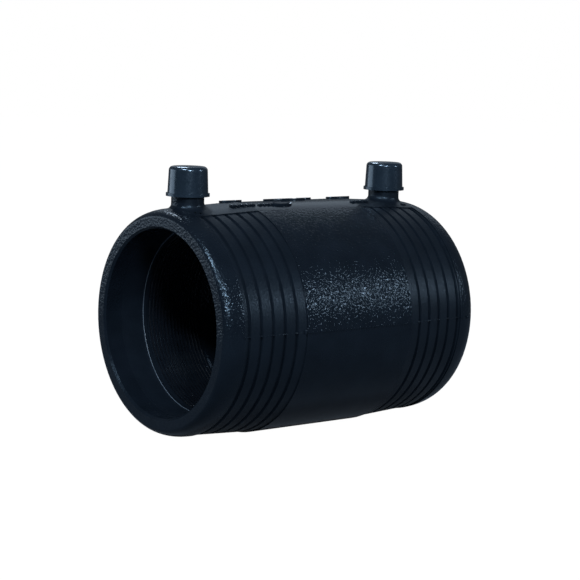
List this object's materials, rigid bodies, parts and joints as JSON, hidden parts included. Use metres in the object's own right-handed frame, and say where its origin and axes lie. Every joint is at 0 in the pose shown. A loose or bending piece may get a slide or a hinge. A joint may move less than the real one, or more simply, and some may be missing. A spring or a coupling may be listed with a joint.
{
  "type": "electrofusion coupler",
  "caption": "Black plastic pipe coupler with a wire coil in its bore, grooved ends and two capped contact terminals for welding two pipes end to end.",
  "frame": {"origin": "centre of the bore at the middle of the coupler's length", "axes": "+X along the bore, +Z towards the terminals"},
  "size_m": [0.1368, 0.0984, 0.1137],
  "materials": {
    "black_polyethylene": "moulded, satin with a spark eroded grain",
    "resistance_wire": "drawn copper-nickel wire, dull",
    "tinned_brass": "tinned, satin",
    "cap_plastic": "moulded, smooth satin"
  },
  "bodies": {
    "root": {"coupler_body": "black_polyethylene", "heating_wire": "resistance_wire", "terminal_pin_left": "tinned_brass", "terminal_pin_right": "tinned_brass", "terminal_cap_left": "cap_plastic", "terminal_cap_right": "cap_plastic"}
  },
  "joints": []
}
